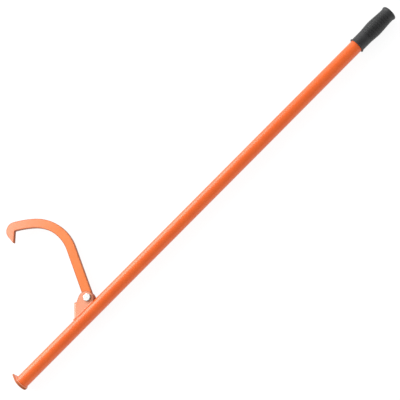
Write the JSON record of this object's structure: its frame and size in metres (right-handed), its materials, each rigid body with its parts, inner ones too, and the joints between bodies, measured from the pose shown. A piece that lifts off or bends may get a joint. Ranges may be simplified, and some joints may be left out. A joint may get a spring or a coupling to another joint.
{
  "type": "cant hook",
  "caption": "Steel tube lever with a rubber grip, a lipped toe plate and a curved flat hook that swings in a welded clevis, for rolling and holding logs.",
  "frame": {"origin": "centre of the toe plate's outer face, on the tube's axis", "axes": "+X along the tube from the toe plate to the grip, +Y to the side that the hook stands on, +Z towards the bolt's head, square to the flat of the hook"},
  "size_m": [1.219, 0.3354, 0.0447],
  "materials": {
    "tube_paint": "glossy orange powder coat on drawn steel tube",
    "plate_paint": "satin orange powder coat on sheet steel and weld beads",
    "hook_paint": "satin orange powder coat on flat bar",
    "zinc_plate": "bright zinc plate",
    "grip_rubber": "matt black moulded rubber with fine ribs",
    "nylon": "blue nylon"
  },
  "bodies": {
    "lever": {"handle_tube": "tube_paint", "grip_sleeve": "grip_rubber", "toe_plate": "plate_paint", "toe_weld": "plate_paint", "clevis_bracket": "plate_paint", "bracket_weld_front": "plate_paint", "bracket_weld_back": "plate_paint", "bracket_weld_web": "plate_paint", "pivot_bolt": "zinc_plate", "pivot_washer": "zinc_plate", "pivot_nut": "zinc_plate", "nut_lock_ring": "nylon"},
    "hook": {"hook_arm": "hook_paint"}
  },
  "joints": [
    {"name": "hook_swing", "type": "hinge", "parent": "lever", "child": "hook", "pos_m": [0.2528, 0.0289, 0], "axis": [0, 0, 1], "range_deg": [-68, 64]}
  ]
}
